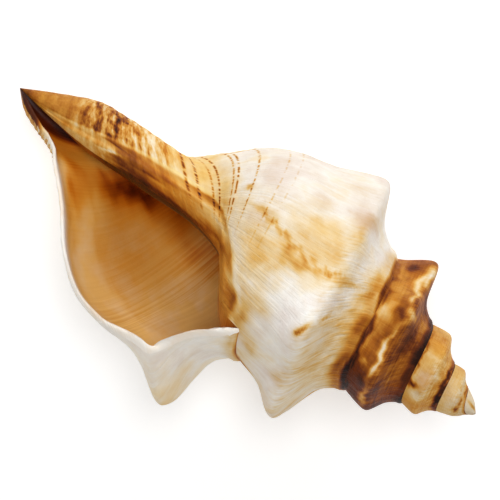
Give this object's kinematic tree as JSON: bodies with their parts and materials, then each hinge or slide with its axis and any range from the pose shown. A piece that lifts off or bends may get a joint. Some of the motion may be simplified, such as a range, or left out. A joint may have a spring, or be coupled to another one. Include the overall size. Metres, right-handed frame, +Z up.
{
  "type": "conch shell",
  "caption": "Knobbed spindle-shaped sea shell with a wide open mouth and a long pointed canal, lying on its back with its mouth up.",
  "frame": {"origin": "centre of the bounding box on the surface that the shell lies on", "axes": "+X towards the point of the spire, +Z up, and +Y to the side away from the lip; the long tapered canal points to -X"},
  "size_m": [0.1386, 0.0778, 0.07],
  "materials": {
    "shell_lime": "cream and amber shell lime, satin outside and glossy in the mouth"
  },
  "bodies": {
    "root": {"shell": "shell_lime"}
  },
  "joints": []
}
